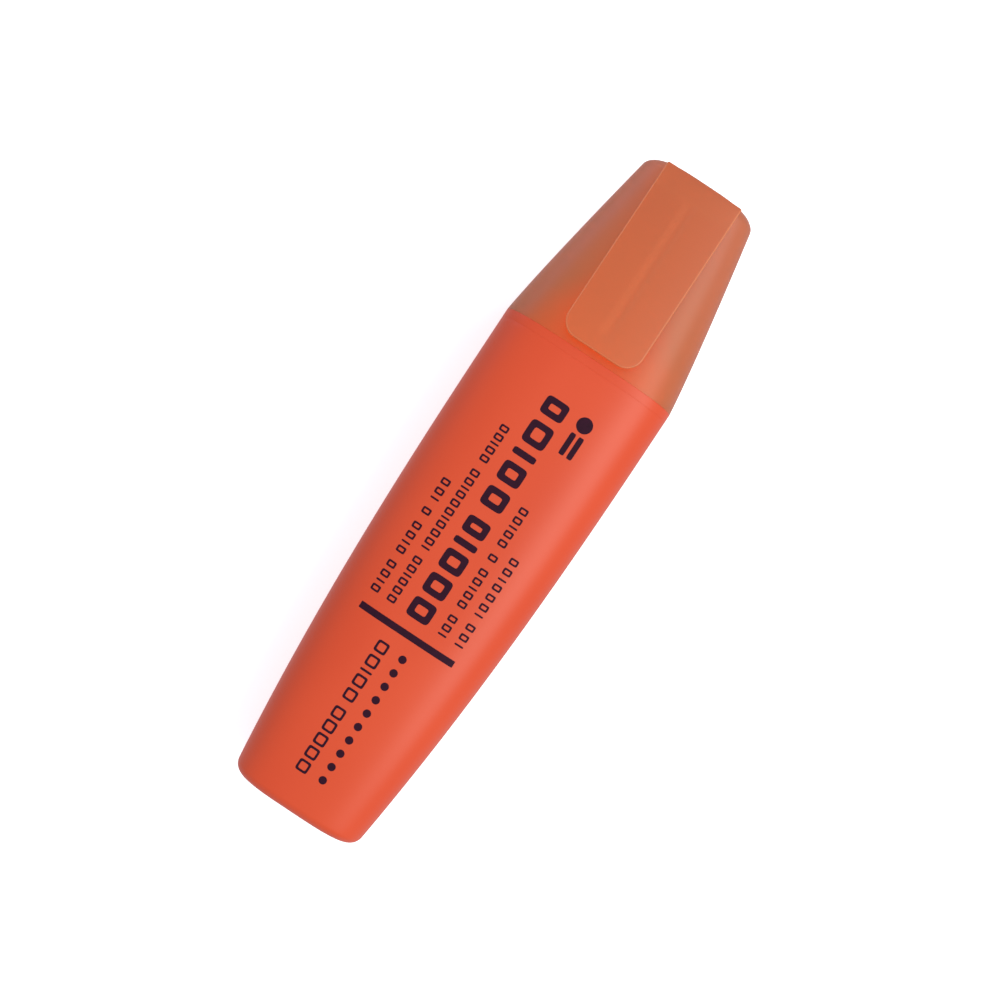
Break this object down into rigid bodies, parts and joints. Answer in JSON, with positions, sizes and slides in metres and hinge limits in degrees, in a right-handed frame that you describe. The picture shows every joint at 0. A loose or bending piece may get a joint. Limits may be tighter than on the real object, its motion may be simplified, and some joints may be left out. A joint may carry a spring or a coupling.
{
  "type": "capped highlighter pen",
  "caption": "Flat-barrel highlighter: swelling barrel, collared nose with a chisel nib, fibre reservoir, pull-off cap with a sprung pocket clip.",
  "frame": {"origin": "bottom centre of the bounding box: on the surface that the pen lies on, under the middle of its length", "axes": "the pen lies on its back; +X along it towards the cap, +Y across its width, +Z out of its front face, where the clip and the print are"},
  "size_m": [0.1028, 0.027, 0.0174],
  "materials": {
    "barrel_plastic": "satin moulded polypropylene, opaque coral orange",
    "cap_plastic": "frosted translucent peach polypropylene",
    "nib_fibre": "bonded polyester fibre soaked in orange ink",
    "reservoir_fibre": "crimped polyester fibre soaked in orange ink",
    "film": "clear wrapped film",
    "print_ink": "dark plum pad-printed ink"
  },
  "bodies": {
    "barrel": {"barrel": "barrel_plastic", "nose_section": "barrel_plastic", "chisel_nib": "nib_fibre", "reservoir_core": "reservoir_fibre", "reservoir_film": "film"},
    "cap": {"cap_shell": "cap_plastic", "cap_liner": "cap_plastic"},
    "clip": {"pocket_clip": "cap_plastic"}
  },
  "joints": [
    {"name": "cap_slide", "type": "slide", "parent": "barrel", "child": "cap", "axis": [1, 0, 0], "range_m": [0, 0.045]},
    {"name": "clip_flex", "type": "hinge", "parent": "cap", "child": "clip", "pos_m": [0.04775, 0, 0.01577], "axis": [0, 1, 0], "range_deg": [0, 6], "stiffness_Nm_per_rad": 0.25}
  ]
}
